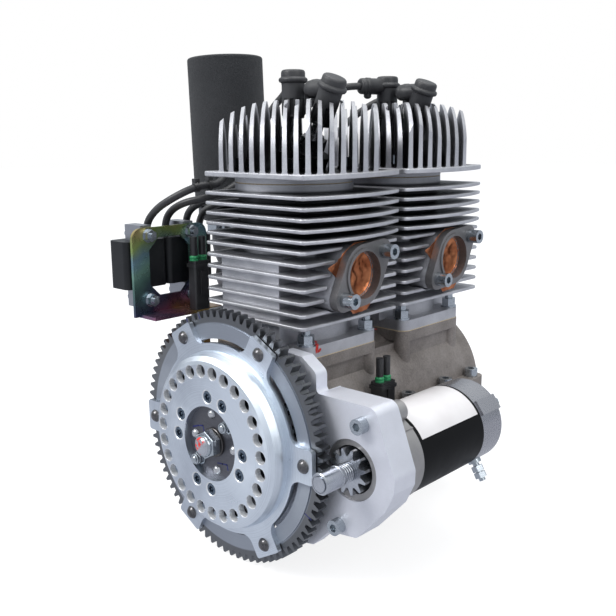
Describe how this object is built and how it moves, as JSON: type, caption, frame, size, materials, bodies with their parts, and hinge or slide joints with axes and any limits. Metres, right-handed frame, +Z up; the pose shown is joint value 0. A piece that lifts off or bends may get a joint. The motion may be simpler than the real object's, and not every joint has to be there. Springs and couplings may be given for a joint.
{
  "type": "two-stroke aircraft engine",
  "caption": "Upright in-line air-cooled two-stroke engine with finned cylinders, ring gear flywheel, electric starter and foam air filter.",
  "frame": {"origin": "on the crank axis at the crankcase's rear face, where the drive shaft leaves", "axes": "+Y along the crank axis towards the drive shaft, -Y the flywheel end, +X the exhaust side, +Z up along the cylinders"},
  "size_m": [0.3623, 0.391, 0.4509],
  "materials": {
    "cast_case": "sand cast, grey brown",
    "cast_cylinder": "die cast, blasted",
    "cast_head": "die cast, blasted, machined fin tops",
    "machined_aluminium": "turned and milled",
    "bracket_aluminium": "milled, bead blasted",
    "gear_steel": "machined dark steel",
    "magneto_steel": "oiled dark steel",
    "shaft_steel": "ground steel",
    "zinc_fasteners": "zinc plated",
    "dark_fasteners": "phosphated steel",
    "piston_alloy": "turned",
    "starter_paint": "semi-gloss black paint",
    "copper_winding": "enamelled wire on plates",
    "copper_foil": "thin crumpled copper sheet",
    "chromate_plate": "yellow chromate with rainbow sheen",
    "coil_resin": "cast resin",
    "core_steel": "laminated sheet steel",
    "plug_steel": "plated shell with white ceramic",
    "black_rubber": "satin moulded rubber",
    "green_rubber": "ribbed silicone",
    "black_plastic": "moulded",
    "filter_foam": "open-cell foam",
    "gasket_paper": "compressed paper",
    "carburettor_alloy": "die cast"
  },
  "bodies": {
    "engine": {"base_gaskets": "gasket_paper", "base_nuts": "zinc_fasteners", "carburettor": "carburettor_alloy", "coil_cores": "core_steel", "coil_plate": "chromate_plate", "coil_screws": "zinc_fasteners", "connector_seals": "green_rubber", "crankcase_lower": "cast_case", "crankcase_screws": "zinc_fasteners", "crankcase_upper": "cast_case", "exhaust_flanges": "machined_aluminium", "exhaust_foils": "copper_foil", "filter_base": "black_plastic", "filter_elbow": "black_rubber", "foam_filter": "filter_foam", "front_cylinder": "cast_cylinder", "front_head": "cast_head", "front_lead_a": "black_rubber", "front_lead_b": "black_rubber", "head_gaskets": "gasket_paper", "head_screws": "zinc_fasteners", "hose_clamps": "zinc_fasteners", "ignition_coils": "coil_resin", "intake_manifold": "carburettor_alloy", "lead_ties": "black_plastic", "main_bearings": "shaft_steel", "plug_caps": "black_rubber", "port_screws": "zinc_fasteners", "rear_cylinder": "cast_cylinder", "rear_head": "cast_head", "rear_lead_a": "black_rubber", "rear_lead_b": "black_rubber", "seal_sleeves": "black_plastic", "shaft_seals": "black_rubber", "spark_plugs": "plug_steel", "starter_bracket": "bracket_aluminium", "starter_can": "starter_paint", "starter_end_cap": "starter_paint", "starter_nose": "bracket_aluminium", "starter_screws": "zinc_fasteners", "starter_terminal": "zinc_fasteners", "stator": "copper_winding", "wire_connectors": "black_plastic"},
    "crank": {"crankshaft": "shaft_steel", "ring_gear": "gear_steel", "flywheel_dish": "machined_aluminium", "flywheel_rivets": "dark_fasteners", "flywheel_screws": "dark_fasteners", "magneto_rotor": "magneto_steel", "hub_nuts": "zinc_fasteners"},
    "starter_shaft": {"armature": "shaft_steel", "stop_cup": "shaft_steel", "pinion_spring": "shaft_steel"},
    "starter_pinion": {"pinion": "shaft_steel"},
    "front_piston_group": {"front_piston": "piston_alloy", "front_pin_and_rings": "shaft_steel"},
    "rear_piston_group": {"rear_piston": "piston_alloy", "rear_pin_and_rings": "shaft_steel"},
    "throttle": {"throttle_spindle": "shaft_steel", "throttle_plate": "carburettor_alloy"}
  },
  "joints": [
    {"name": "crank_spin", "type": "hinge", "parent": "engine", "child": "crank", "pos_m": [0, -0.13, 0], "axis": [0, 1, 0], "continuous": true},
    {"name": "starter_spin", "type": "hinge", "parent": "engine", "child": "starter_shaft", "pos_m": [0.1265, -0.2, 0], "axis": [0, 1, 0], "continuous": true},
    {"name": "pinion_slide", "type": "slide", "parent": "starter_shaft", "child": "starter_pinion", "axis": [0, -1, 0], "range_m": [0, 0.009], "stiffness_N_per_m": 150, "springref_m": -0.003, "deforming": ["pinion_spring"]},
    {"name": "front_piston_slide", "type": "slide", "parent": "engine", "child": "front_piston_group", "axis": [0, 0, -1], "range_m": [0, 0.069]},
    {"name": "rear_piston_slide", "type": "slide", "parent": "engine", "child": "rear_piston_group", "axis": [0, 0, 1], "range_m": [0, 0.069]},
    {"name": "throttle_turn", "type": "hinge", "parent": "engine", "child": "throttle", "pos_m": [-0.108, -0.146, 0.125], "axis": [0, -1, 0], "range_deg": [0, 75], "stiffness_Nm_per_rad": 0.05, "springref_deg": -17.19}
  ]
}
